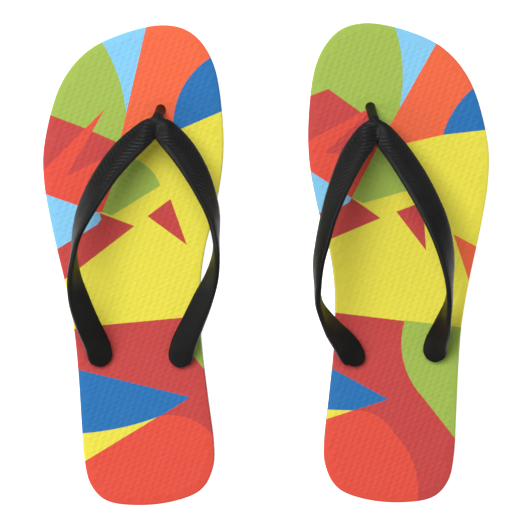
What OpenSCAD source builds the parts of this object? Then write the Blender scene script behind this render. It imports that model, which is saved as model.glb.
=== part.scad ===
// A pair of thong sandals (flip-flops) standing side by side, toes towards +Y, soles on z = 0.
// Each sole is three bonded layers. It is divided across the ball of the foot, where it flexes:
// everything in front is the forefoot half and everything behind is the heel half.
// The shapes are drawn for the right shoe, in its own plan with the sole's middle at the origin
// and +X towards the little toe. The left shoe is its mirror image.

/* [Sole] */
// Length of each sole from toe tip to heel
sole_length = 270; // [230:5:300]
// Distance from the pair's middle plane to the middle of each sole
half_stance = 74; // [64:1:110]
// Thickness of the whole sole under the toe tip
toe_thickness = 14; // [13:0.5:18]
// Thickness of the whole sole under the heel
heel_thickness = 18; // [14:0.5:24]
// Thickness of the printed top layer
footbed_thickness = 3; // [2:0.5:4]
// Thickness of the rubber bottom layer
outsole_thickness = 4; // [3:0.5:5]

/* [Tread] */
// Distance from one zigzag groove to the next
groove_pitch = 9; // [7:0.5:14]
// Width of a groove
groove_width = 2; // [1:0.5:4]
// Depth of a groove
groove_depth = 1.5; // [0.5:0.25:2.5]
// Plain border between the grooves and the sole's edge
tread_border = 6; // [4:1:12]

/* [Strap] */
// Thickness of the strap's arms
strap_thickness = 4; // [3:0.25:5]
// Radius of the three stems that pass through the sole
stem_radius = 3; // [2.5:0.25:3.5]
// Radius of the flat head that is moulded on each stem
head_radius = 8; // [6.5:0.5:8.5]
// Thickness of a head
head_thickness = 2.9; // [2:0.1:2.9]
// Radius of the washer between each head and the sole
washer_radius = 9; // [8.5:0.25:9.25]
// Thickness of a washer
washer_thickness = 1.2; // [0.8:0.1:1.5]

/* [Hidden] */
SIDES = ["left", "right"];
PIECES = [
    "forefoot_outsole", "heel_outsole",
    "forefoot_midsole", "heel_midsole",
    "forefoot_footbed", "heel_footbed",
    "strap", "toe_washer", "inner_washer", "outer_washer"
];

// The plan is drawn at this length and scaled to sole_length.
drawn_length = 270;
plan_scale = sole_length / drawn_length;

// Line across the ball of the foot where the sole flexes, and the gap between its halves.
flex_y = 48 * plan_scale;
flex_gap = 0.3;

// Stems: holes have this much room round them, and heads sit in recesses in the bottom face.
stem_room = 0.3;
recess_radius = 9.5;
recess_depth = 5.5;
recess_margin = 4;
head_gap = 0.15;

// Longer or higher than anything that it cuts.
reach = 400;
tall = 60;

curve_steps = 7;
arm_steps = 4;
section_points = 16;
round_fn = 64;

// Outline of the right sole, clockwise from the toe tip.
OUTLINE = [
    [-17, 135], [6, 130.5], [27, 120], [42, 100.5], [50.5, 70], [51, 47], [46.5, 20],
    [39.7, -10], [35.3, -34], [33, -58], [31.3, -88], [30, -108], [26.5, -123], [17, -132.5],
    [-1, -135], [-20, -133], [-35, -127], [-42, -115.5], [-43, -101], [-39.7, -73],
    [-36.6, -44], [-36, -15], [-39, 9], [-45, 31], [-49.6, 58], [-49.6, 84], [-45.3, 112],
    [-34, 129.5]
];

// Where the three stems pass through the sole.
TOE_STEM = [-15, 87.5];
INNER_STEM = [-25.5, -50];
OUTER_STEM = [20, -50];
STEMS = [TOE_STEM, INNER_STEM, OUTER_STEM];

// The stations of each arm, from the yoke to the pad on its rear stem: x and y in plan, height
// above the ground, width, and roll. At roll 0 the band lies flat, at 90 it stands on edge with
// its outer face outwards, and past 90 it leans out, so that its foot-side face looks up.
// The straps are soft, and the two have set to slightly different shapes.
LEFT_INNER_ARM = [
    [-13, 81, 31, 12, 14], [-17.5, 75, 32.5, 16, 20], [-27, 64, 35.5, 16, 24],
    [-34.5, 52, 39.5, 15.5, 30], [-40, 40, 43, 14.5, 44], [-44, 28, 46, 13.5, 61],
    [-45.5, 16, 48, 13, 82], [-45.5, 4, 49, 12.5, 101], [-43, -8, 47.5, 12.5, 124],
    [-38, -20, 42.5, 13, 148], [-32.5, -32, 34, 13.5, 160], [-27, -44, 25, 14.5, 167],
    [-24.5, -53, 20.5, 14, 173], [-23.5, -57.5, 19.5, 14, 177]
];
LEFT_OUTER_ARM = [
    [-13, 81, 31, 12, 14], [-7.5, 75, 32.5, 15, 20], [4.5, 64, 35.5, 15.5, 26],
    [14.5, 52, 39.5, 15, 31], [22, 40, 43, 14.5, 39], [28, 28, 46, 14, 53],
    [32, 16, 48, 13, 75], [33.5, 4, 49, 12.5, 96], [33.5, -8, 47.5, 13, 122],
    [31, -20, 42.5, 13.5, 149], [27, -32, 34, 14, 162], [22, -44, 25, 14.5, 168],
    [20, -52.5, 20.5, 14, 174], [19, -56.5, 19.5, 14, 178]
];
RIGHT_INNER_ARM = [
    [-12.5, 78, 30, 12, 14], [-17.5, 71, 32, 16, 22], [-25, 60, 36, 16, 32],
    [-31, 48, 40.5, 15.5, 40], [-36, 36, 44, 14.5, 47], [-40, 24, 46.5, 13.5, 54],
    [-43, 12, 48.5, 13, 59], [-45.5, 0, 49, 12.5, 68], [-46, -12, 47, 12.5, 84],
    [-45, -24, 41.5, 13, 102], [-38.5, -36, 32.5, 13.5, 135], [-30.5, -46, 24, 15, 160],
    [-25.5, -54, 20.5, 14, 172], [-24.5, -58, 19.5, 14, 177]
];
RIGHT_OUTER_ARM = [
    [-13, 78, 30, 12, 14], [-7, 70.5, 32, 14.5, 20], [0.5, 60, 36, 15, 23],
    [8, 48, 40.5, 15.5, 23], [14.5, 36, 44, 15, 23], [20, 24, 46.5, 14.5, 28],
    [24, 12, 48.5, 13.5, 40], [26.5, 0, 49, 13, 58], [27.5, -12, 47, 12.5, 80],
    [27, -24, 41.5, 12.5, 99], [24, -36, 32.5, 13.5, 131], [20.5, -46, 24, 14, 156],
    [19.5, -52.5, 20.5, 13.5, 170], [19, -56, 19.5, 13.5, 176]
];
// Width of an arm at its very tip, as a share of the pad's width.
arm_tip_share = 0.25;

// The toe post leans back from its collar on the footbed to the front of the yoke.
LEFT_POST_TOP = [-13.3, 82, 30];
RIGHT_POST_TOP = [-13, 79, 29.5];
post_radius = 3;
collar_radius = 4;
collar_height = 1;
// Height of the middle of the pads above the rear stems.
pad_height = 21;

// ---- Curves ----

function catmull(a, b, c, d, t) =
    0.5 * (2 * b + (c - a) * t + (2 * a - 5 * b + 4 * c - d) * t^2 + (3 * b - a - 3 * c + d) * t^3);

// A smooth closed curve through all the points.
function closed_curve(points, steps) =
    let (n = len(points))
    [
        for (i = [0 : n - 1], s = [0 : steps - 1])
            catmull(points[(i + n - 1) % n], points[i], points[(i + 1) % n], points[(i + 2) % n], s / steps)
    ];

// A smooth open curve through all the points.
function open_curve(points, steps) =
    let (n = len(points))
    [
        for (i = [0 : n - 2], s = [0 : i == n - 2 ? steps : steps - 1])
            catmull(
                points[max(i - 1, 0)], points[i], points[i + 1], points[min(i + 2, n - 1)], s / steps
            )
    ];

function unit(v) = v / norm(v);

// Height of the sole's top face, which falls evenly from heel to toe.
function top_z(y) =
    (toe_thickness + heel_thickness) / 2 + (toe_thickness - heel_thickness) * y / sole_length;

// ---- Sole ----

module sole_plan() {
    scale([plan_scale, plan_scale]) polygon(closed_curve(OUTLINE, curve_steps));
}

// The part of the sole's plan that lies between two heights, from y0 to y1. Each height is a
// list: its value at y0 and at y1.
module slab(y0, y1, bottom, top) {
    intersection() {
        linear_extrude(tall) sole_plan();
        rotate([90, 0, 90])
            linear_extrude(reach, center = true)
                polygon([[y0, bottom[0]], [y1, bottom[1]], [y1, top[1]], [y0, top[0]]]);
    }
}

module stem_holes(radius) {
    for (stem = STEMS)
        translate([stem.x * plan_scale, stem.y * plan_scale, -1])
            cylinder(h = tall, r = radius, $fn = round_fn);
}

module recesses() {
    for (stem = STEMS)
        translate([stem.x * plan_scale, stem.y * plan_scale, -1])
            cylinder(h = recess_depth + 1, r = recess_radius, $fn = round_fn);
}

// Zigzag grooves inside a plain border, and clear of the recesses and of the flex line.
module tread_plan() {
    zig = 6;
    swing = 3;
    rows = ceil(sole_length / 2 / groove_pitch);
    columns = 10;
    difference() {
        intersection() {
            offset(delta = -tread_border) sole_plan();
            union() {
                for (row = [-rows : rows])
                    translate([0, (row + 0.5) * groove_pitch])
                        polygon(concat(
                            [for (i = [-columns : columns]) [i * zig, swing * (abs(i) % 2)]],
                            [
                                for (i = [columns : -1 : -columns])
                                    [i * zig, swing * (abs(i) % 2) + groove_width]
                            ]
                        ));
            }
        }
        for (stem = STEMS)
            translate(stem * plan_scale) circle(r = recess_radius + recess_margin, $fn = round_fn);
        translate([-reach / 2, flex_y - groove_width]) square([reach, 2 * groove_width]);
    }
}

module outsole(y0, y1) {
    color("#1b1b1d")
        difference() {
            slab(y0, y1, [0, 0], [outsole_thickness, outsole_thickness]);
            recesses();
            translate([0, 0, -1])
                linear_extrude(groove_depth + 1) tread_plan();
        }
}

module midsole(y0, y1) {
    color("#26262a")
        difference() {
            slab(
                y0, y1, [outsole_thickness, outsole_thickness],
                [top_z(y0) - footbed_thickness, top_z(y1) - footbed_thickness]
            );
            recesses();
            stem_holes(stem_radius + stem_room);
        }
}

module footbed(y0, y1) {
    color("#e6dc4a")
        difference() {
            slab(
                y0, y1, [top_z(y0) - footbed_thickness, top_z(y1) - footbed_thickness],
                [top_z(y0), top_z(y1)]
            );
            stem_holes(stem_radius + stem_room);
        }
}

// ---- Strap ----

// A rounded rectangle for one cross-section of an arm, w across and t thick.
function section(w, t) = [
    for (i = [0 : section_points - 1])
        let (a = 360 * i / section_points, c = cos(a), s = sin(a))
        [sign(c) * abs(c)^0.5 * w / 2, sign(s) * abs(s)^0.6 * t / 2]
];

// Distance along the path from its start to its point i.
function run(path, i) =
    i == 0 ? 0 : run(path, i - 1) + norm([for (k = [0 : 2]) path[i][k] - path[i - 1][k]]);

// The share of its width that an arm keeps at the given distance from its tip, which rounds
// off like the end of a tongue.
function end_share(distance, w) =
    let (u = max(0, 1 - 2 * distance / w))
    max(arm_tip_share, sqrt(1 - u * u));

// The ring of points round an arm at one station. along is the arm's direction there.
function ring(station, along, outward, share) =
    let (
        level = outward * unit(cross(along, [0, 0, 1])),
        up = unit(cross(along, level)) * -outward,
        roll = station[4],
        across = level * cos(roll) - up * sin(roll),
        face = up * cos(roll) + level * sin(roll)
    )
    [
        for (p = section(station[3] * share, strap_thickness))
            [station.x, station.y, station.z] + across * p.x + face * p.y
    ];

// outward is 1 where the level direction across the arm is to its right as it runs to the rear.
module arm(stations, outward) {
    path = open_curve(
        [for (s = stations) [s.x * plan_scale, s.y * plan_scale, s.z, s[3], s[4]]], arm_steps
    );
    last = len(path) - 1;
    length = run(path, last);
    points = [
        for (i = [0 : last])
            let (
                a = path[max(i - 1, 0)],
                b = path[min(i + 1, last)],
                along = unit([b.x - a.x, b.y - a.y, b.z - a.z])
            )
            each ring(path[i], along, outward, end_share(length - run(path, i), path[i][3]))
    ];
    m = section_points;
    sides = [
        for (i = [0 : last - 1], j = [0 : m - 1])
            let (a = i * m + j, b = i * m + (j + 1) % m)
            each [[a, b, b + m], [a, b + m, a + m]]
    ];
    ends = [[for (j = [m - 1 : -1 : 0]) j], [for (j = [0 : m - 1]) last * m + j]];
    faces = concat(sides, ends);
    polyhedron(points, outward > 0 ? faces : [for (f = faces) [for (k = [len(f) - 1 : -1 : 0]) f[k]]]);
}

// A stem through the sole with its head in the recess below. top is where the stem ends.
module stem(at, top) {
    head_top = recess_depth - washer_thickness - head_gap;
    translate([at.x * plan_scale, at.y * plan_scale, 0]) {
        translate([0, 0, head_top - head_thickness])
            cylinder(h = head_thickness, r = head_radius, $fn = round_fn);
        translate([0, 0, head_top - 0.5])
            cylinder(h = top - head_top + 0.5, r = stem_radius, $fn = round_fn);
    }
}

module toe_post(post_top) {
    foot = [TOE_STEM.x * plan_scale, TOE_STEM.y * plan_scale, top_z(TOE_STEM.y * plan_scale)];
    translate(foot + [0, 0, 0.2])
        cylinder(h = collar_height, r = collar_radius, $fn = round_fn);
    hull() {
        translate(foot + [0, 0, 0.2 + collar_height / 2])
            cylinder(h = 1, r = post_radius, $fn = 32);
        translate([post_top.x * plan_scale, post_top.y * plan_scale, post_top.z])
            sphere(r = post_radius, $fn = 32);
    }
}

module strap(inner_arm, outer_arm, post_top) {
    color("#141416") {
        arm(inner_arm, 1);
        arm(outer_arm, -1);
        toe_post(post_top);
        stem(TOE_STEM, top_z(TOE_STEM.y * plan_scale) + collar_height);
        stem(INNER_STEM, pad_height);
        stem(OUTER_STEM, pad_height);
    }
}

module washer(at) {
    color("#8a8d92")
        translate([at.x * plan_scale, at.y * plan_scale, recess_depth - washer_thickness])
            difference() {
                cylinder(h = washer_thickness, r = washer_radius, $fn = round_fn);
                translate([0, 0, -1])
                    cylinder(h = washer_thickness + 2, r = stem_radius + stem_room, $fn = round_fn);
            }
}

// ---- The pair ----

module strap_of(side) {
    if (side == "left")
        strap(LEFT_INNER_ARM, LEFT_OUTER_ARM, LEFT_POST_TOP);
    else
        strap(RIGHT_INNER_ARM, RIGHT_OUTER_ARM, RIGHT_POST_TOP);
}

module place(side) {
    if (side == "left")
        mirror([1, 0, 0]) translate([half_stance, 0, 0]) children();
    else
        translate([half_stance, 0, 0]) children();
}

front = flex_y + flex_gap / 2;
rear = flex_y - flex_gap / 2;
end = sole_length;

for (side = SIDES) {
    place(side) outsole(front, end);
    place(side) outsole(-end, rear);
    place(side) midsole(front, end);
    place(side) midsole(-end, rear);
    place(side) footbed(front, end);
    place(side) footbed(-end, rear);
    place(side) strap_of(side);
    place(side) washer(TOE_STEM);
    place(side) washer(INNER_STEM);
    place(side) washer(OUTER_STEM);
}
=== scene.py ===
"""A pair of thong sandals, seen from straight above: treaded rubber soles in three layers, a grained
footbed printed with blocks of colour, and soft black toe straps.

Shapes are drawn in millimetres in a sandal's own plan: the sole's middle is the origin, +x points
to the little toe and +y to the toes. The left sandal is the mirror image of the right one."""

import math

import bmesh
import bpy
import numpy as np
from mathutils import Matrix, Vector
from mathutils.geometry import delaunay_2d_cdt


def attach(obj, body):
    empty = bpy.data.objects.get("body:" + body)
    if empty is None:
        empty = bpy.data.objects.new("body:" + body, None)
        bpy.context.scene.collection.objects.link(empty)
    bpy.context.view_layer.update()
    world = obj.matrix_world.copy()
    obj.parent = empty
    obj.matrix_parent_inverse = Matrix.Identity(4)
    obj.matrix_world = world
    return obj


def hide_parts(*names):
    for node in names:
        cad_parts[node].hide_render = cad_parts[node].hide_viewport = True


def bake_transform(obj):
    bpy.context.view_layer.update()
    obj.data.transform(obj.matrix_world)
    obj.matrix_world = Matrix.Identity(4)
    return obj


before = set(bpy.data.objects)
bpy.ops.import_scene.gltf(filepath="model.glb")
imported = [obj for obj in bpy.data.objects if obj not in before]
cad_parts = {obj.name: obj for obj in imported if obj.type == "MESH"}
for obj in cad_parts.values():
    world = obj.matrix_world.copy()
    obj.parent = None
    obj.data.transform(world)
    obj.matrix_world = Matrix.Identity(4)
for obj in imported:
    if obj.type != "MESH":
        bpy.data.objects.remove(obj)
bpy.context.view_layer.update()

MM = 0.001
SIDES = ("left", "right")

# ---- Sizes, in millimetres ----

# Distance from the pair's middle plane to a sole's middle, and the sole's driving sizes.
HALF_STANCE = 74
SOLE_LENGTH = 270
TOE_THICKNESS = 14
HEEL_THICKNESS = 18
FOOTBED_THICKNESS = 3
OUTSOLE_THICKNESS = 4
FLEX_Y = 48
FLEX_GAP = 0.3

# The sole bends from this far in front of the flex line to this far behind it.
BEND_FRONT = 18
BEND_REAR = 42

OUTLINE = [
    (-17, 135), (6, 130.5), (27, 120), (42, 100.5), (50.5, 70), (51, 47), (46.5, 20),
    (39.7, -10), (35.3, -34), (33, -58), (31.3, -88), (30, -108), (26.5, -123), (17, -132.5),
    (-1, -135), (-20, -133), (-35, -127), (-42, -115.5), (-43, -101), (-39.7, -73),
    (-36.6, -44), (-36, -15), (-39, 9), (-45, 31), (-49.6, 58), (-49.6, 84), (-45.3, 112),
    (-34, 129.5),
]

TOE_STEM = (-15, 87.5)
INNER_STEM = (-25.5, -50)
OUTER_STEM = (20, -50)
STEMS = (TOE_STEM, INNER_STEM, OUTER_STEM)

# Stations of each arm from the yoke to its rear pad: x, y, height, width and roll in degrees. They
# are the CAD model's, but the yoke is softer and the pads are up to 0.7 mm lower.
ARMS = {
    "left": {
        "inner": [
            (-13.4, 83, 30.3, 7, 12), (-14.3, 79.5, 31.2, 10, 16),
            (-18, 74.5, 32.5, 14.5, 20), (-27, 64, 35.5, 16, 24),
            (-34.5, 52, 39.5, 15.5, 30), (-40, 40, 43, 14.5, 44), (-44, 28, 46, 13.5, 61),
            (-45.5, 16, 48, 13, 82), (-45.5, 4, 49, 12.5, 101), (-43, -8, 47.5, 12.5, 124),
            (-38, -20, 42.5, 13, 148), (-32.5, -32, 34, 13.5, 160), (-27, -44, 25, 14.5, 167),
            (-24.5, -53, 20, 14, 173), (-23.5, -57.5, 18.8, 14, 177),
        ],
        "outer": [
            (-12.8, 82.8, 30.4, 7, 12), (-11.7, 79.5, 31.2, 9.5, 16),
            (-7, 74.5, 32.5, 13.5, 20), (4.5, 64, 35.5, 15.5, 26),
            (14.5, 52, 39.5, 15, 31), (22, 40, 43, 14.5, 39), (28, 28, 46, 14, 53),
            (32, 16, 48, 13, 75), (33.5, 4, 49, 12.5, 96), (33.5, -8, 47.5, 13, 122),
            (31, -20, 42.5, 13.5, 149), (27, -32, 34, 14, 162), (22, -44, 25, 14.5, 168),
            (20, -52.5, 20, 14, 174), (19, -56.5, 18.8, 14, 178),
        ],
    },
    "right": {
        "inner": [
            (-13, 80, 29.5, 7, 12), (-14.4, 76, 30.7, 10.5, 16),
            (-17.8, 70.5, 32, 14.5, 22), (-25, 60, 36, 16, 32),
            (-31, 48, 40.5, 15.5, 40), (-36, 36, 44, 14.5, 47), (-40, 24, 46.5, 13.5, 54),
            (-43, 12, 48.5, 13, 59), (-45.5, 0, 49, 12.5, 68), (-46, -12, 47, 12.5, 84),
            (-45, -24, 41.5, 13, 102), (-38.5, -36, 32.5, 13.5, 135), (-30.5, -46, 24, 15, 160),
            (-25.5, -54, 20, 14, 172), (-24.5, -58, 18.8, 14, 177),
        ],
        "outer": [
            (-12.5, 79.8, 29.6, 7, 12), (-11.2, 76, 30.7, 10, 16),
            (-7, 70, 32, 13.5, 20), (0.5, 60, 36, 15, 23),
            (8, 48, 40.5, 15.5, 23), (14.5, 36, 44, 15, 23), (20, 24, 46.5, 14.5, 28),
            (24, 12, 48.5, 13.5, 40), (26.5, 0, 49, 13, 58), (27.5, -12, 47, 12.5, 80),
            (27, -24, 41.5, 12.5, 99), (24, -36, 32.5, 13.5, 131), (20.5, -46, 24, 14, 156),
            (19.5, -52.5, 20, 13.5, 170), (19, -56, 18.8, 13.5, 176),
        ],
    },
}
POST_TOP = {"left": (-13.3, 82, 30), "right": (-13, 79, 29.5)}
STRAP_THICKNESS = 4

# The rear stems run up to this height, inside their pads.
PAD_HEIGHT = 21

# The post and stems, the bores and recesses that they sit in, and the heads and washers below.
POST_RADIUS = 2.75
STEM_RADIUS = 2.8
BORE_RADIUS = 3.3
RECESS_RADIUS = 9.5
RECESS_TOP = 5.5
HEAD_RADIUS = 8
HEAD_TOP = 4.15
HEAD_BOTTOM = 1.25
WASHER_RADIUS = 9
WASHER_HOLE = 3.3
WASHER_BOTTOM = 4.3
WASHER_EDGE = 0.2

# A bore closes in on its stem between these depths below the footbed's face, and leaves it this gap.
LIP_START = 1.6
LIP_END = 0.8
LIP_GAP = 0.1

# The post starts this far below the footbed's face.
POST_ROOT = 2.2

# Points round each circle.
BORE_SEGMENTS = 32
POST_SEGMENTS = 40
STEM_SEGMENTS = 48
WASHER_SEGMENTS = 64


# ---- Curves ----

def catmull(a, b, c, d, t):
    """The point at t between b and c on a smooth curve through a, b, c and d."""
    return 0.5 * (2 * b + (c - a) * t + (2 * a - 5 * b + 4 * c - d) * t**2
                  + (3 * b - a - 3 * c + d) * t**3)


def closed_curve(points, steps):
    """A smooth closed curve through the points, in so many steps from each one to the next."""
    p = np.array(points, float)
    n = len(p)
    return np.array([
        catmull(p[i - 1], p[i], p[(i + 1) % n], p[(i + 2) % n], s / steps)
        for i in range(n) for s in range(steps)
    ])


def open_curve(points, spacing, steps=40):
    """A smooth curve through the points. Returns the run along it, at about equal spacing in
    millimetres, and its points there."""
    p = np.array(points, float)
    n = len(p)
    fine = []
    for i in range(n - 1):
        for s in range(steps):
            fine.append(catmull(p[max(i - 1, 0)], p[i], p[i + 1], p[min(i + 2, n - 1)], s / steps))
    fine.append(p[-1])
    fine = np.array(fine)
    run = np.concatenate([[0], np.cumsum(np.linalg.norm(np.diff(fine[:, :3], axis=0), axis=1))])
    count = int(run[-1] / spacing) + 1
    at = np.linspace(0, run[-1], count)
    return at, np.stack([np.interp(at, run, fine[:, k]) for k in range(fine.shape[1])], axis=1)


def inset(ring, distance):
    """The closed ring moved inwards by a distance. The ring runs clockwise."""
    along = np.roll(ring, -1, axis=0) - np.roll(ring, 1, axis=0)
    along /= np.linalg.norm(along, axis=1)[:, None]
    inwards = np.stack([along[:, 1], -along[:, 0]], axis=1)
    return ring + inwards * distance


def inside(points, ring):
    """True for each point that lies within the closed ring."""
    x, y = points[:, 0], points[:, 1]
    hit = np.zeros(len(points), bool)
    for (x0, y0), (x1, y1) in zip(ring, np.roll(ring, -1, axis=0)):
        if y0 == y1:
            continue
        crosses = (y0 > y) != (y1 > y)
        hit ^= crosses & (x < (x1 - x0) * (y - y0) / (y1 - y0) + x0)
    return hit


def top_z(y):
    """Height of the sole's top face, which falls evenly from heel to toe."""
    return (TOE_THICKNESS + HEEL_THICKNESS) / 2 + (TOE_THICKNESS - HEEL_THICKNESS) * y / SOLE_LENGTH


def smooth_step(low, high, x):
    """A share that eases from 0 at low to 1 at high."""
    t = np.clip((x - low) / (high - low), 0, 1)
    return t * t * (3 - 2 * t)


def turn_by(angle):
    """The matrix of a turn in plan, anticlockwise in radians."""
    return np.array([[math.cos(angle), -math.sin(angle)], [math.sin(angle), math.cos(angle)]])


def circle(centre, radius, segments):
    a = 2 * math.pi * np.arange(segments) / segments
    return np.stack([centre[0] + radius * np.cos(a), centre[1] + radius * np.sin(a)], axis=1)


# ---- Meshes ----

def to_world(points, side):
    """Points of the right sandal's plan, in millimetres, as that side's points in metres."""
    p = np.array(points, float)
    p[:, 0] += HALF_STANCE
    if side == "left":
        p[:, 0] *= -1
    return p * MM


def turned(faces):
    """The faces with their other side out."""
    return [tuple(reversed(f)) for f in faces]


def make_object(name, points, faces, side, smooth_angle=40):
    """A mesh object. Faces are given for the right sandal, and are turned round on the left."""
    if side == "left":
        faces = turned(faces)
    mesh = bpy.data.meshes.new(name)
    mesh.from_pydata([tuple(p) for p in to_world(points, side)], [], faces)
    mesh.update()
    piece = bpy.data.objects.new(name, mesh)
    bpy.context.scene.collection.objects.link(piece)
    shade(piece, smooth_angle)
    return piece


def shade(piece, smooth_angle):
    """Smooth shading, but for edges that bend by more than the angle, in degrees."""
    piece.data.shade_smooth()
    piece.data.set_sharp_from_angle(angle=math.radians(smooth_angle))


def add_plan_map(piece, side):
    """A UV map that holds each point's place on the sole at rest, in decimetres. x grows to the
    right on both sandals, so that the print isn't mirrored."""
    middle = HALF_STANCE * MM * (-1 if side == "left" else 1)
    plan_map = piece.data.uv_layers.new(name="Plan")
    co = np.zeros(len(piece.data.vertices) * 3)
    piece.data.vertices.foreach_get("co", co)
    co = co.reshape(-1, 3)
    corner = np.zeros(len(piece.data.loops), int)
    piece.data.loops.foreach_get("vertex_index", corner)
    uv = np.stack([(co[corner, 0] - middle) * 10, co[corner, 1] * 10], axis=1)
    plan_map.data.foreach_set("uv", uv.ravel())


def tube(n, rings):
    """Quads between neighbouring rings of a tube, each ring with n points."""
    return [
        (i * n + j, (i + 1) * n + j, (i + 1) * n + (j + 1) % n, i * n + (j + 1) % n)
        for i in range(rings - 1) for j in range(n)
    ]


def closed_tube(n, rings):
    """A tube and a face over each of its two ends."""
    last = (rings - 1) * n
    return tube(n, rings) + [tuple(range(n)), tuple(reversed(range(last, last + n)))]


def lathe(profile, at, segments):
    """Points of a turned shape with a vertical axis: a ring for each (radius, height) of its
    profile."""
    points = []
    for radius, height in profile:
        for k in range(segments):
            a = 2 * math.pi * k / segments
            points.append((at[0] + radius * math.cos(a), at[1] + radius * math.sin(a), height))
    return points


# ---- The sole's layers ----

RING = closed_curve(OUTLINE, 8)

# The grain: its lattice's pitch along a row, the rows' spacing and their tilt in degrees, and the
# largest size of a grain. The margins keep it clear of the edge and the bores. Chance moves a grain
# by up to GRAIN_SHIFT, turns it by up to GRAIN_TURN in degrees, and makes it as small as LEAST_GRAIN
# of its size.
GRAIN_PITCH = 4.7
GRAIN_ROW = 2.5
GRAIN_TILT = 24
GRAIN_LENGTH = 4.5
GRAIN_WIDTH = 2.4
GRAIN_HEIGHT = 0.32
EDGE_MARGIN = 2.2
STEM_MARGIN = 3
GRAIN_SHIFT = 0.25
GRAIN_TURN = 14
LEAST_GRAIN = 0.72
GRAIN_SEED = 5

# A grain's rings, each a share of its size, a share of its height and a number of points: its foot,
# its shoulder and its ridge.
GRAIN_RINGS = ((1.0, 0, 10), (0.74, 0.55, 8), (0.4, 0.95, 6))

# How round the footbed's upper edge is, and the edges where two layers meet.
EDGE_RADIUS = 1.2
SEAM_RADIUS = 0.35
EDGE_STEPS = 4

# The grid of points inside a plain face: its spacing, its shift along the sole, and how far it stays
# from the edge and from the bores.
GRID_SPACING = 6
GRID_SHIFT = 0.7
GRID_EDGE_MARGIN = 3
GRID_BORE_MARGIN = 2
HALF_WIDTH = 60
HALF_LENGTH = SOLE_LENGTH // 2

# The outsole's halves are joined by merging points this close to each other, at the cut and
# elsewhere. Its rows of edges lie this far apart and run this far past the bend.
CUT_MERGE = 0.1
POINT_MERGE = 0.02
ROW_SPACING = 3
ROW_MARGIN = 8
ROW_SHIFT = 0.4


def grain_points(side):
    """Points of every grain on the footbed, and their heights. The grains are a staggered lattice
    tilted the same way on both sandals, each one a little out of place, turned and sized by chance."""
    tilt = math.radians(GRAIN_TILT if side == "right" else -GRAIN_TILT)
    reach = SOLE_LENGTH * 0.75
    rows = int(reach / GRAIN_ROW)
    columns = int(reach / GRAIN_PITCH)
    lattice = np.array([
        ((i + 0.5 * (row % 2)) * GRAIN_PITCH, row * GRAIN_ROW)
        for row in range(-rows, rows) for i in range(-columns, columns)
    ])
    centres = lattice @ turn_by(tilt).T
    centres = centres[inside(centres, inset(RING, EDGE_RADIUS + EDGE_MARGIN))]
    for stem in STEMS:
        centres = centres[np.hypot(*(centres - stem).T) > BORE_RADIUS + STEM_MARGIN]
    chance = np.random.default_rng(GRAIN_SEED)
    centres += chance.uniform(-GRAIN_SHIFT, GRAIN_SHIFT, centres.shape)
    sizes = chance.uniform(LEAST_GRAIN, 1.0, (len(centres), 3))
    turns = tilt + np.radians(chance.uniform(-GRAIN_TURN, GRAIN_TURN, len(centres)))
    points, heights = [], []
    for centre, size, angle in zip(centres, sizes, turns):
        for share, height, count in GRAIN_RINGS:
            a = 2 * math.pi * (np.arange(count) + 0.5) / count
            oval = np.stack([GRAIN_LENGTH * size[0] * np.cos(a), GRAIN_WIDTH * size[1] * np.sin(a)], 1)
            points.append(centre + oval * share / 2 @ turn_by(angle).T)
            heights += [height * GRAIN_HEIGHT * size[2]] * count
    return np.concatenate(points), np.array(heights)


def sparse_points(holes):
    """A sparse grid inside the outline and outside the holes, so that a plain face can bend."""
    grid = np.array([
        (x, y + GRID_SHIFT)
        for x in range(-HALF_WIDTH, HALF_WIDTH + 1, GRID_SPACING)
        for y in range(-HALF_LENGTH, HALF_LENGTH + 1, GRID_SPACING)
    ])
    grid = grid[inside(grid, inset(RING, GRID_EDGE_MARGIN))]
    for centre, radius in holes:
        grid = grid[np.hypot(*(grid - centre).T) > radius + GRID_BORE_MARGIN]
    return grid


def fill(loops, holes, points):
    """Triangles that fill the outline but not the holes, through all the points given. The loops
    are the outline and the holes' edges. Returns the plan points and triangles facing up."""
    verts, edges = [], []
    for loop in loops:
        first, n = len(verts), len(loop)
        verts += [Vector(p) for p in loop]
        edges += [(first + i, first + (i + 1) % n) for i in range(n)]
    verts += [Vector(p) for p in points]
    plan, _, faces, _, _, _ = delaunay_2d_cdt(verts, edges, [], 1, 1e-5)
    if len(plan) != len(verts):
        raise RuntimeError("the fill merged or split points")
    plan = np.array([tuple(p) for p in plan])
    faces = np.array([list(f) for f in faces])
    corners = plan[faces]
    side_a, side_b = corners[:, 1] - corners[:, 0], corners[:, 2] - corners[:, 0]
    wrong = side_a[:, 0] * side_b[:, 1] < side_a[:, 1] * side_b[:, 0]
    faces[wrong] = faces[wrong][:, ::-1]
    middles = corners.mean(axis=1)
    for centre, radius in holes:
        keep = np.hypot(*(middles - centre).T) > radius * 0.995
        faces, middles = faces[keep], middles[keep]
    return plan, faces


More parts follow.
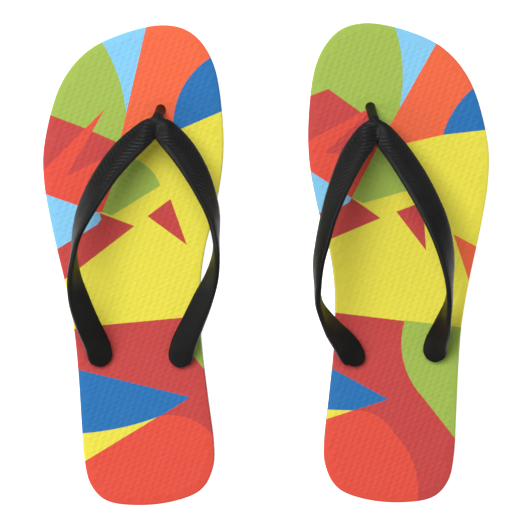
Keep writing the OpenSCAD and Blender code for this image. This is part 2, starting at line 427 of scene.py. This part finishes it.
def layer(name, side, bottom, top, edges, bores, relief=None):
    """A closed layer of the sole, between two heights that depend on y. edges are the radii of its
    bottom and top edges. Each bore is a centre and its wall as (radius, height) from the bottom to
    the top, where a height of None is the layer's own face. relief is points of the top face."""
    quarter = [math.pi / 2 * k / EDGE_STEPS for k in range(EDGE_STEPS + 1)]
    low, high = edges
    walls = [(low * (1 - math.sin(a)), bottom, low * (1 - math.cos(a))) for a in quarter]
    walls += [(high * (1 - math.cos(a)), top, -high * (1 - math.sin(a))) for a in quarter]
    points, faces = [], []

    def add_wall(rings):
        """Adds a wall, and returns the first point of its bottom ring and of its top ring."""
        first, n = len(points), len(rings[0][0])
        for plan, heights in rings:
            points.extend(np.column_stack([plan, heights]).tolist())
        faces.extend(tuple(first + i for i in f) for f in tube(n, len(rings)))
        return first, first + (len(rings) - 1) * n

    rings = []
    for move, height, rise in walls:
        plan = inset(RING, move)
        rings.append((plan, height(plan[:, 1]) + rise))
    starts = [add_wall(rings)]
    for centre, wall in bores:
        rings = []
        for k, (radius, z) in enumerate(wall):
            plan = circle(centre, radius, BORE_SEGMENTS)
            own = bottom(plan[:, 1]) if k == 0 else top(plan[:, 1])
            rings.append((plan, own if z is None else z + 0 * own))
        starts.append(add_wall(rings))

    for face_up in (True, False):
        loops, origin = [], []
        for k, start in enumerate(starts):
            n = len(RING) if k == 0 else BORE_SEGMENTS
            first = start[1] if face_up else start[0]
            loops.append(np.array(points[first:first + n])[:, :2])
            origin += list(range(first, first + n))
        holes = [(centre, wall[-1 if face_up else 0][0]) for centre, wall in bores]
        if face_up and relief is not None:
            inner, rise = relief
        else:
            inner = sparse_points(holes)
            rise = np.zeros(len(inner))
        plan, triangles = fill(loops, holes, inner)
        origin = np.array(origin + list(range(len(points), len(points) + len(inner))))
        height = (top if face_up else bottom)(inner[:, 1]) + rise
        points.extend(np.column_stack([inner, height]).tolist())
        triangles = origin[triangles]
        faces.extend(map(tuple, (triangles if face_up else triangles[:, ::-1]).tolist()))
    return make_object(name, np.array(points), faces, side)


def midsole_top(y):
    """Height of the midsole's top face."""
    return top_z(y) - FOOTBED_THICKNESS


def outsole_top(y):
    """Height of the outsole's top face, which is level."""
    return OUTSOLE_THICKNESS + 0 * y


def footbed(side, relief):
    bores = []
    for at, radius in ((TOE_STEM, POST_RADIUS), (INNER_STEM, STEM_RADIUS), (OUTER_STEM, STEM_RADIUS)):
        face = top_z(at[1])
        lip = radius + LIP_GAP
        bores.append((at, [
            (BORE_RADIUS, None), (BORE_RADIUS, face - LIP_START), (lip, face - LIP_END), (lip, None),
        ]))
    edges = (SEAM_RADIUS, EDGE_RADIUS)
    piece = layer(f"{side}_footbed", side, midsole_top, top_z, edges, bores, relief)
    add_plan_map(piece, side)
    return piece


def midsole(side):
    bores = [
        (stem, [(RECESS_RADIUS, None), (RECESS_RADIUS, RECESS_TOP), (BORE_RADIUS, RECESS_TOP),
                (BORE_RADIUS, None)])
        for stem in STEMS
    ]
    edges = (SEAM_RADIUS, SEAM_RADIUS)
    return layer(f"{side}_midsole", side, outsole_top, midsole_top, edges, bores)


def outsole(side):
    """The two halves of the CAD outsole joined across the flex line, with rows of edges where it
    bends."""
    mesh = bpy.data.meshes.new(f"{side}_outsole")
    work = bmesh.new()
    for half in ("forefoot", "heel"):
        work.from_mesh(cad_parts[f"{side}_{half}_outsole"].data)
    near = FLEX_GAP * MM
    cut = [f for f in work.faces if all(abs(v.co.y - FLEX_Y * MM) < near for v in f.verts)]
    bmesh.ops.delete(work, geom=cut, context="FACES")
    seam = [v for v in work.verts if abs(v.co.y - FLEX_Y * MM) < near]
    for v in seam:
        v.co.y = FLEX_Y * MM
    bmesh.ops.remove_doubles(work, verts=seam, dist=CUT_MERGE * MM)
    bmesh.ops.remove_doubles(work, verts=work.verts, dist=POINT_MERGE * MM)
    for y in range(FLEX_Y - BEND_REAR - ROW_MARGIN, FLEX_Y + BEND_FRONT + ROW_MARGIN, ROW_SPACING):
        bmesh.ops.bisect_plane(
            work, geom=work.verts[:] + work.edges[:] + work.faces[:], dist=1e-6,
            plane_co=(0, (y + ROW_SHIFT) * MM, 0), plane_no=(0, 1, 0),
        )
    work.to_mesh(mesh)
    work.free()
    piece = bpy.data.objects.new(f"{side}_outsole", mesh)
    bpy.context.scene.collection.objects.link(piece)
    shade(piece, 25)
    return piece


# ---- The strap ----

# The herringbone moulded on the arms: its pitch along an arm, depth, slant (along for each
# millimetre across), half-width as a share of the arm's, and where it starts and ends along an arm.
CHEVRON_PITCH = 2.9
CHEVRON_DEPTH = 0.36
CHEVRON_SLANT = 0.9
CHEVRON_REACH = 0.62
CHEVRON_START = 8
CHEVRON_FADE_IN = 8
CHEVRON_END = 66
CHEVRON_FADE_OUT = 22

# Spacing of the rings along an arm.
RING_SPACING = 0.4

# The jagged valley where the two arms meet: its run in plan from the post to the notch, its depth,
# half-width, teeth and their pitch, its slope past the plane where the arms meet, how far from the
# post it is fully deep, and the most that an arm's face is lowered.
CREASE_RUN = {"left": (1, -14), "right": (1.5, -14)}
CREASE_DEPTH = 2.0
CREASE_WIDTH = 7.5
TOOTH_SIZE = 2.2
TOOTH_PITCH = 2.3
CREASE_SLOPE = 0.8
CREASE_FADE_IN = 5
MOST_CREASE = 2.8

# The least share of its width that an arm keeps at its pad's end and at the yoke.
PAD_LEAST = 0.15
YOKE_LEAST = 0.3


def section():
    """One cross-section of an arm as (across, face) from -1 to 1, anticlockwise from the outer
    edge: a crowned outer face, rounded edges and a flatter foot-side face."""
    shape = []
    for a in np.linspace(0, math.pi, 57):
        c, s = math.cos(a), abs(math.sin(a))
        crown = 0.72 + 0.28 * (1 - abs(c) ** 1.6)
        shape.append((math.copysign(abs(c) ** 0.66, c), s ** 0.5 * crown))
    for a in np.linspace(0, math.pi, 19)[1:-1]:
        c, s = math.cos(a), math.sin(a)
        shape.append((-math.copysign(abs(c) ** 0.5, c), -s ** 0.45 * 0.92))
    return np.array(shape)


def chevrons(run, across, width):
    """How far the outer face is cut in by its herringbone, whose points are to the rear."""
    along = run[:, None] + CHEVRON_SLANT * np.abs(across)[None, :] * width[:, None] / 2
    wave = 0.5 + 0.5 * np.cos(2 * math.pi * along / CHEVRON_PITCH)
    groove = 1 - smooth_step(0.1, 0.55, wave)
    panel = 1 - smooth_step(CHEVRON_REACH, CHEVRON_REACH + 0.08, np.abs(across))[None, :]
    fade_in = smooth_step(CHEVRON_START, CHEVRON_START + CHEVRON_FADE_IN, run)
    fade_out = smooth_step(CHEVRON_END - CHEVRON_FADE_OUT, CHEVRON_END, run)
    return (0.3 + 0.7 * groove) * CHEVRON_DEPTH * panel * (fade_in - fade_out)[:, None]


def crease(points, side, outward):
    """How far an arm's outer face is lowered near the vertical plane through the post and the
    notch, where it meets the other arm. Only the arm on the wearer's left has teeth there."""
    front = np.array(POST_TOP[side][:2])
    back = front + np.array(CREASE_RUN[side])
    along = (back - front) / np.linalg.norm(back - front)
    away = np.array([along[1], -along[0]]) * outward
    plan = points[..., :2] - front
    tooth = 2 * np.abs((plan @ along / TOOTH_PITCH) % 1 - 0.5) - 0.5
    toothed = outward == (1 if side == "right" else -1)
    own = plan @ away + (TOOTH_SIZE * tooth if toothed else 0)
    valley = CREASE_DEPTH * (1 - smooth_step(-1, CREASE_WIDTH, own))
    drop = valley + CREASE_SLOPE * np.clip(-own, 0, None)
    return np.clip(drop, 0, MOST_CREASE) * (0.35 + 0.65 * smooth_step(0, CREASE_FADE_IN, plan @ along))


def rounded_end(distance, width, least):
    """Share of an arm's width at a distance from a round end, which is never less than least."""
    short = np.clip(1 - 2 * distance / width, 0, math.sqrt(1 - least**2))
    return np.sqrt(1 - short**2)


def arm(side, stations, outward):
    """A twisting band from the yoke to its rear pad. outward is 1 where the level direction across
    it is to its right as it runs to the rear. Returns points and faces."""
    run, path = open_curve(stations, RING_SPACING)
    centre, width, roll = path[:, :3], path[:, 3], np.radians(path[:, 4])
    along = np.gradient(centre, axis=0)
    along /= np.linalg.norm(along, axis=1)[:, None]
    level = np.cross(along, (0, 0, 1)) * outward
    level /= np.linalg.norm(level, axis=1)[:, None]
    up = np.cross(along, level) * -outward
    across = level * np.cos(roll)[:, None] - up * np.sin(roll)[:, None]
    face = up * np.cos(roll)[:, None] + level * np.sin(roll)[:, None]
    rear = rounded_end(run[-1] - run, width, PAD_LEAST)
    share = rear * rounded_end(run + 0.6, width, YOKE_LEAST)
    thick = STRAP_THICKNESS * (0.55 + 0.45 * rear)
    shape = section()
    reach = shape[:, 0] * (width * share)[:, None] / 2
    depth = chevrons(run, shape[:, 0], width)
    rise = shape[:, 1] * thick[:, None] / 2 - np.where(shape[:, 1] > 0, depth, 0)
    points = centre[:, None] + across[:, None] * reach[..., None] + face[:, None] * rise[..., None]
    upper = smooth_step(0.1, 0.7, shape[:, 1])[None, :]
    points -= face[:, None] * (crease(points, side, outward) * upper)[..., None]
    faces = closed_tube(len(shape), len(run))
    return points.reshape(-1, 3), turned(faces) if outward < 0 else faces


def post(side):
    """The toe post. It comes straight up through the footbed, then leans back to the front of the
    yoke, with slight shoulders."""
    foot = np.array([*TOE_STEM, top_z(TOE_STEM[1])])
    lean = np.array(POST_TOP[side], float) - foot
    r = POST_RADIUS
    profile = [(0, r), (0.06, r), (0.3, r - 0.05), (0.65, r), (0.8, r + 0.15), (0.9, r + 0.2),
               (0.96, r - 0.1), (1, r - 0.9), (1.02, r - 1.6)]
    rings = [(foot - (0, 0, POST_ROOT), r)] + [(foot + lean * t, radius) for t, radius in profile]
    points = [
        (*spot, middle[2])
        for middle, radius in rings for spot in circle(middle, radius, POST_SEGMENTS)
    ]
    return np.array(points), turned(closed_tube(POST_SEGMENTS, len(rings)))


def stem(at, top):
    """A stem through the sole, with a rounded flat head in the recess below. The head's lower face
    has a moulded ring."""
    r, b, t = HEAD_RADIUS, HEAD_BOTTOM, HEAD_TOP
    profile = [
        (r * 0.3, b + 0.35), (r * 0.5, b + 0.35), (r * 0.56, b), (r - 0.7, b), (r - 0.2, b + 0.2),
        (r, b + 0.7), (r, t - 0.5), (r - 0.15, t - 0.15), (r - 0.5, t), (STEM_RADIUS + 0.5, t),
        (STEM_RADIUS, t + 0.5), (STEM_RADIUS, top),
    ]
    faces = turned(closed_tube(STEM_SEGMENTS, len(profile)))
    return lathe(profile, at, STEM_SEGMENTS), faces


def strap(side):
    """The whole strap as one closed mesh, its arms, post, stems and heads fused."""
    shapes = [
        arm(side, ARMS[side]["inner"], 1), arm(side, ARMS[side]["outer"], -1), post(side),
        stem(TOE_STEM, top_z(TOE_STEM[1]) - LIP_START), stem(INNER_STEM, PAD_HEIGHT),
        stem(OUTER_STEM, PAD_HEIGHT),
    ]
    pieces = [
        make_object(f"{side}_strap_part", np.array(points), faces, side)
        for points, faces in shapes
    ]
    whole = pieces[0]
    for part in pieces[1:]:
        fuse = whole.modifiers.new("fuse", "BOOLEAN")
        fuse.operation = "UNION"
        fuse.solver = "EXACT"
        fuse.object = part
        applied = bpy.data.meshes.new_from_object(
            whole.evaluated_get(bpy.context.evaluated_depsgraph_get()))
        whole.modifiers.clear()
        whole.data = applied
    for part in pieces[1:]:
        bpy.data.objects.remove(part)
    whole.name = f"{side}_thong_strap"
    whole.data.name = whole.name
    shade(whole, 50)
    return whole


def washer(side, place, at):
    """A flat ring with softened edges. Its last ring of points is joined to its first, down the
    wall of its hole."""
    r, b, t = WASHER_RADIUS, WASHER_BOTTOM, RECESS_TOP
    hole, e, n = WASHER_HOLE, WASHER_EDGE, WASHER_SEGMENTS
    profile = [(hole, b + e), (hole + e, b), (r - e, b), (r, b + e), (r, t - e), (r - e, t),
               (hole + e, t), (hole, t - e)]
    points = lathe(profile, at, n)
    last = len(points) - n
    faces = turned(tube(n, len(profile)))
    faces += [((j + 1) % n, j, last + j, last + (j + 1) % n) for j in range(n)]
    return make_object(f"{side}_{place}_washer_ring", np.array(points), faces, side)


# ---- Materials ----

def srgb(code):
    """A colour given as six hex digits, in linear light."""
    values = [int(code[i:i + 2], 16) / 255 for i in (0, 2, 4)]
    return [v / 12.92 if v <= 0.04045 else ((v + 0.055) / 1.055) ** 2.4 for v in values] + [1]


class Tree:
    """A short way to build a material's nodes."""

    def __init__(self, name, roughness, specular=0.5):
        self.material = bpy.data.materials.new(name)
        self.material.use_nodes = True
        self.nodes = self.material.node_tree.nodes
        self.links = self.material.node_tree.links
        self.shader = self.nodes["Principled BSDF"]
        self.shader.inputs["Roughness"].default_value = roughness
        self.shader.inputs["Specular IOR Level"].default_value = specular

    def put(self, socket, value):
        """Gives a socket a plain value, or the output of another node."""
        if isinstance(value, bpy.types.NodeSocket):
            self.links.new(value, socket)
        else:
            socket.default_value = value

    def math(self, operation, *values, clamp=False):
        node = self.nodes.new("ShaderNodeMath")
        node.operation = operation
        node.use_clamp = clamp
        for socket, value in zip(node.inputs, values):
            self.put(socket, value)
        return node.outputs[0]

    def measure(self, operation, vector, other):
        """A number from a vector and a plain one: their DOT_PRODUCT or their DISTANCE."""
        node = self.nodes.new("ShaderNodeVectorMath")
        node.operation = operation
        self.put(node.inputs[0], vector)
        node.inputs[1].default_value = other
        return node.outputs["Value"]

    def mix(self, factor, a, b):
        """A mix of two colours. Inputs 6 and 7 and output 2 are the node's colours."""
        node = self.nodes.new("ShaderNodeMix")
        node.data_type = "RGBA"
        for index, value in ((0, factor), (6, a), (7, b)):
            self.put(node.inputs[index], value)
        return node.outputs[2]

    def noise(self, vector, scale, detail=3, roughness=0.6):
        node = self.nodes.new("ShaderNodeTexNoise")
        self.put(node.inputs["Vector"], vector)
        node.inputs["Scale"].default_value = scale
        node.inputs["Detail"].default_value = detail
        node.inputs["Roughness"].default_value = roughness
        return node.outputs["Fac"]

    def remap(self, value, low, high, to_low, to_high):
        node = self.nodes.new("ShaderNodeMapRange")
        for socket, v in zip(node.inputs, (value, low, high, to_low, to_high)):
            self.put(socket, v)
        return node.outputs[0]

    def bump(self, height, distance, strength=1.0):
        node = self.nodes.new("ShaderNodeBump")
        node.inputs["Strength"].default_value = strength
        node.inputs["Distance"].default_value = distance
        self.put(node.inputs["Height"], height)
        self.links.new(node.outputs[0], self.shader.inputs["Normal"])

    def uv(self, name):
        node = self.nodes.new("ShaderNodeUVMap")
        node.uv_map = name
        return node.outputs[0]

    def object_place(self):
        return self.nodes.new("ShaderNodeTexCoord").outputs["Object"]


# Colours of the print.
YELLOW = srgb("e9df49")
RED = srgb("c64543")
GREEN = srgb("a1bc50")
SKY = srgb("84c9ee")
BLUE = srgb("2272b4")
ORANGE = srgb("ef6841")
VERMILION = srgb("e44f3e")

# The print of each sandal, from the lowest patch of colour to the top one, over yellow. A patch is
# the inside of a convex outline of (x, y) and of any discs, each one (x, y, radius), all in
# millimetres. x grows to the right on both sandals. Patches run past the sole's edge.
PRINT = {
    "left": [
        (SKY, [(-40, 145), (16, 145), (-10, 62), (-40, 62)], []),
        (GREEN, [(-60, 145), (20, 145), (20, 60), (-60, 60)], [(-98, 77, 94)]),
        (ORANGE, [(10, 145), (-10.5, 60), (60, 60), (60, 145)], []),
        (BLUE, [(60, 60), (60, 145), (10, 145), (10, 60)], [(67, 78, 45)]),
        (YELLOW, [(-20, 57), (60, 90.5), (60, 0), (-20, 0)], []),
        (RED, [(-60, 90), (-28, 77.5), (-8, 68.5), (-8, 40), (-60, 30)], []),
        (VERMILION, [(-60, 41), (-5, 66), (-14, 30), (-60, 30)], []),
        (VERMILION, [(-16, 88.5), (-60, 45), (-60, 40), (-39, 50)], []),
        (RED, [(-60, 43.5), (-19.5, 29.5), (-0.5, 22), (-39, -7), (-60, -22)], []),
        (SKY, [(-60, 44), (-20, 29.5), (-19, 26), (-22, 22), (-44, 9.5), (-60, 0)], []),
        (GREEN, [(-6, 62), (20, 70), (15, 45), (-13, 28), (-18.5, 30)], [(-9, 37, 24.5)]),
        (RED, [(20, 37), (29, 11), (7, 27.5)], []),
        (RED, [(-60, -38.5), (-18.5, -33.5), (60, -27), (60, -150), (-60, -150)], []),
        (GREEN, [(60, -20), (33, -36), (27, -45), (60, -87)], []),
        (YELLOW, [(-60, -80), (11.5, -85.5), (-60, -128)], []),
        (BLUE, [(-60, -51.5), (30, -74.5), (-20, -106), (-60, -106)], [(-40, 58, 152.5)]),
        (VERMILION, [(12, -85.5), (41, -94.5), (60, -113), (60, -150), (-60, -150), (-60, -128)], []),
        (VERMILION, [(12, -85.5), (60, -57), (60, -150), (-60, -150), (-60, -128)], [(18.5, -114.5, 30)]),
    ],
    "right": [
        (SKY, [(-20, 145), (35.5, 145), (-12, 63.5), (-20, 63.5)], []),
        (GREEN, [(-60, 145), (40, 145), (40, 60), (-60, 60)], [(-85, 106, 88.5)]),
        (ORANGE, [(35.5, 145), (-12, 63.5), (60, 63.5), (60, 145)], []),
        (BLUE, [(60, 50), (60, 145), (0, 145), (0, 50)], [(77.5, 56, 54)]),
        (YELLOW, [(-20, 61.5), (26, 71.5), (50, 74), (60, 75), (60, -20), (-20, -20)], []),
        (RED, [(-60, 90), (-38.5, 98), (-6, 74), (-20, 40), (-60, 40)], []),
        (VERMILION, [(-60, 63.5), (-15.5, 87), (-13, 78), (-10.5, 66), (-25.5, 36.5), (-60, 36.5)], []),
        (RED, [(-41, 62), (-16, 84.5), (-10, 80), (-14, 60.5)], []),
        (RED, [(-60, 40), (-26, 36.5), (-10, 25), (-38, 13.5), (-60, 4.5)], []),
        (SKY, [(-60, 59), (-29, 38.5), (-26, 36.5), (-27.5, 34), (-33, 31), (-60, 24.5)], []),
        (GREEN, [(-10.5, 66), (-2, 64), (5, 50), (6, 40.5), (-19.5, 33.5), (-26, 36.5)], []),
        (RED, [(-1, 28.5), (14, 34), (15.5, 6.5)], []),
        (ORANGE, [(31, 15.5), (60, -0.5), (60, -40), (42, -19)], []),
        (RED, [(-60, -22), (3, -33), (33.5, -37), (60, -40.5), (60, -150), (-60, -150)], []),
        (GREEN, [(-5, -31.5), (60, -40.5), (60, -80), (-5, -80)], [(45, -46, 44)]),
        (GREEN, [(9, -33.5), (60, -40.5), (60, -138), (9, -71)], []),
        (YELLOW, [(-60, -80), (-26.5, -83), (-60, -93.5)], []),
        (BLUE, [(-60, -47), (-6.5, -77), (-26.5, -83), (-60, -81.5)], []),
        (VERMILION, [(-60, -93.5), (-26.5, -83), (-4, -95.5), (-4, -150), (-60, -150)], []),
        (VERMILION, [(-60, -93.5), (0, -75), (0, -150), (-60, -150)], [(-25, -107, 24)]),
        (VERMILION, [(-60, -95.5), (60, -95.5), (60, -150), (-60, -150)], [(-34.5, -127.5, 44)]),
    ],
}

# A patch's edge fades over this far to either side, in millimetres.
PRINT_SOFTNESS = 0.12


def patch_mask(tree, plan, outline, discs):
    """1 inside a patch: the least of its distances inwards from its sides, in millimetres. The
    plan is in decimetres."""
    middle = np.mean(outline, axis=0)
    depths = []
    corners = np.array(outline, float)
    for a, b in zip(corners, np.roll(corners, -1, axis=0)):
        normal = np.array([b[1] - a[1], a[0] - b[0]]) / np.linalg.norm(b - a)
        if normal @ (middle - a) < 0:
            normal = -normal
        reach = tree.measure("DOT_PRODUCT", plan, (normal[0] * 100, normal[1] * 100, 0))
        depths.append(tree.math("ADD", reach, -float(normal @ a)))
    for x, y, radius in discs:
        away = tree.measure("DISTANCE", plan, (x / 100, y / 100, 0))
        depths.append(tree.math("MULTIPLY_ADD", away, -100, radius))
    least = depths[0]
    for depth in depths[1:]:
        least = tree.math("MINIMUM", least, depth)
    return tree.remap(least, -PRINT_SOFTNESS, PRINT_SOFTNESS, 0, 1)


def print_material(side):
    """Coloured print on grained rubber: blocks of colour, slightly uneven ink and sheen, and a
    fine tooth between the grains."""
    tree = Tree(f"{side}_printed_rubber", roughness=0.6, specular=0.15)
    plan = tree.uv("Plan")
    colour = YELLOW
    for patch, outline, discs in PRINT[side]:
        colour = tree.mix(patch_mask(tree, plan, outline, discs), colour, patch)
    uneven = tree.remap(tree.noise(plan, 7, 4), 0.3, 0.7, 0.0, 0.03)
    colour = tree.mix(uneven, colour, srgb("9a948a"))
    speckle = tree.remap(tree.noise(plan, 160, 2), 0.55, 0.75, 0.0, 0.04)
    colour = tree.mix(speckle, colour, srgb("f4f2ec"))
    tree.put(tree.shader.inputs["Base Color"], colour)
    tree.put(tree.shader.inputs["Roughness"], tree.remap(tree.noise(plan, 30, 3), 0.3, 0.7, 0.54, 0.68))
    tooth = tree.noise(plan, 220, 3, 0.65)
    swell = tree.noise(plan, 34, 2, 0.5)
    tree.bump(tree.math("MULTIPLY_ADD", swell, 4, tooth), 0.00006, 0.6)
    return tree.material


def moulded_material(name, dark, light, roughness, specular, bump_distance, scale):
    """Moulded rubber or plastic: faint mottling between two shades, uneven sheen and a fine grain."""
    tree = Tree(name, roughness, specular)
    place = tree.object_place()
    mottled = tree.remap(tree.noise(place, 60, 4), 0.35, 0.65, 0, 1)
    tree.put(tree.shader.inputs["Base Color"], tree.mix(mottled, srgb(dark), srgb(light)))
    sheen = tree.remap(tree.noise(place, 180, 3), 0.3, 0.7, roughness - 0.06, roughness + 0.08)
    tree.put(tree.shader.inputs["Roughness"], sheen)
    tree.bump(tree.noise(place, scale, 4, 0.7), bump_distance, 0.6)
    return tree.material


def paint(piece, *materials):
    """Gives a piece these materials and no others."""
    piece.data.materials.clear()
    for material in materials:
        piece.data.materials.append(material)


# ---- Building the pair ----

def ride_the_bend(piece):
    """Bakes the piece's placement into its mesh. The piece stays as it is at rest and is not bent."""
    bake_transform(piece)


outsole_rubber = moulded_material("outsole_rubber", "131414", "1e1f1f", 0.6, 0.4, 0.00008, 900)
foam_rubber = moulded_material("foam_rubber", "161717", "232424", 0.75, 0.3, 0.00014, 700)
strap_rubber = moulded_material("strap_rubber", "101110", "161716", 0.44, 0.16, 0.00003, 1400)
washer_plastic = moulded_material("washer_plastic", "75787c", "8a8d91", 0.4, 0.5, 0.00003, 500)

def print_the_top(piece, side):
    """Paints the footbed: the print on its face, and plain foam rubber on its walls and underside."""
    paint(piece, print_material(side), foam_rubber)
    normals = np.zeros(len(piece.data.polygons) * 3)
    piece.data.polygons.foreach_get("normal", normals)
    is_plain = (normals.reshape(-1, 3)[:, 2] < 0.1).astype(int)
    piece.data.polygons.foreach_set("material_index", is_plain)


for side in SIDES:
    top = footbed(side, grain_points(side))
    print_the_top(top, side)
    ride_the_bend(top)
    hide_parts(f"{side}_forefoot_footbed", f"{side}_heel_footbed")

    middle = midsole(side)
    paint(middle, foam_rubber)
    ride_the_bend(middle)
    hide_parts(f"{side}_forefoot_midsole", f"{side}_heel_midsole")

    base = outsole(side)
    paint(base, outsole_rubber)
    ride_the_bend(base)
    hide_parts(f"{side}_forefoot_outsole", f"{side}_heel_outsole")

    thong = strap(side)
    paint(thong, strap_rubber)
    ride_the_bend(thong)
    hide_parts(f"{side}_strap")

    for place, at, body in (
        ("toe", TOE_STEM, "forefoot"), ("inner", INNER_STEM, "heel"), ("outer", OUTER_STEM, "heel"),
    ):
        ring = washer(side, place, at)
        paint(ring, washer_plastic)
        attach(ring, f"{side}_{body}")
        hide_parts(f"{side}_{place}_washer")


# ---- Floor, light and camera ----

# The camera looks straight down from this far above the soles, and its picture is this wide there,
# in metres. Its place is slightly off the middle and it is turned a little, in degrees.
CAMERA_DISTANCE = 3.0
CAMERA_PLACE = (-0.0012, -0.0007)
CAMERA_TURN = 0.61
PICTURE_WIDTH = 0.2981
LENS_SENSOR = 36

# The floor is white paper, lit a little from within so that it comes out as plain white. It lies
# just under the soles, so that no two faces share a plane.
FLOOR_REACH = 3.0
FLOOR_DROP = 0.0002
FLOOR_WHITE = 0.9
FLOOR_GLOW = 0.85

# Lights as place, diameter and power, in metres and watts, and the strength of the room's light.
KEY_LIGHT = ((-0.55, 0.65, 1.65), 1.3, 25)
SIDE_LIGHT = ((-1.3, -0.6, 1.0), 1.1, 5.5)
ROOM_LIGHT = 0.4


def add_floor():
    mesh = bpy.data.meshes.new("floor")
    r = FLOOR_REACH
    corners = [(-r, -r, 0), (r, -r, 0), (r, r, 0), (-r, r, 0)]
    mesh.from_pydata(corners, [], [(0, 1, 2, 3)])
    floor = bpy.data.objects.new("floor", mesh)
    floor.location.z = -FLOOR_DROP
    bpy.context.scene.collection.objects.link(floor)
    tree = Tree("floor_paper", roughness=0.9, specular=0.1)
    tree.shader.inputs["Base Color"].default_value = (FLOOR_WHITE, FLOOR_WHITE, FLOOR_WHITE, 1)
    tree.shader.inputs["Emission Color"].default_value = (1, 1, 1, 1)
    tree.shader.inputs["Emission Strength"].default_value = FLOOR_GLOW
    paint(floor, tree.material)


def add_light(name, place, size, power):
    """A round soft light that faces the origin."""
    light = bpy.data.lights.new(name, "AREA")
    light.shape = "DISK"
    light.size = size
    light.energy = power
    lamp = bpy.data.objects.new(name, light)
    lamp.location = place
    lamp.rotation_euler = (-Vector(place)).to_track_quat("-Z", "Y").to_euler()
    bpy.context.scene.collection.objects.link(lamp)


def add_world(strength):
    """Even white light from all round."""
    world = bpy.data.worlds.new("studio")
    world.use_nodes = True
    background = world.node_tree.nodes["Background"]
    background.inputs["Color"].default_value = (1, 1, 1, 1)
    background.inputs["Strength"].default_value = strength
    bpy.context.scene.world = world


def add_camera():
    data = bpy.data.cameras.new("camera")
    data.sensor_width = LENS_SENSOR
    data.lens = LENS_SENSOR * CAMERA_DISTANCE / PICTURE_WIDTH
    data.clip_end = 20
    camera = bpy.data.objects.new("camera", data)
    camera.location = (*CAMERA_PLACE, CAMERA_DISTANCE + top_z(0) * MM)
    camera.rotation_euler = (0, 0, -math.radians(CAMERA_TURN))
    bpy.context.scene.collection.objects.link(camera)
    bpy.context.scene.camera = camera


add_camera()
add_floor()
add_world(ROOM_LIGHT)
add_light("key", *KEY_LIGHT)
add_light("side", *SIDE_LIGHT)
bpy.context.scene.view_settings.view_transform = "Standard"
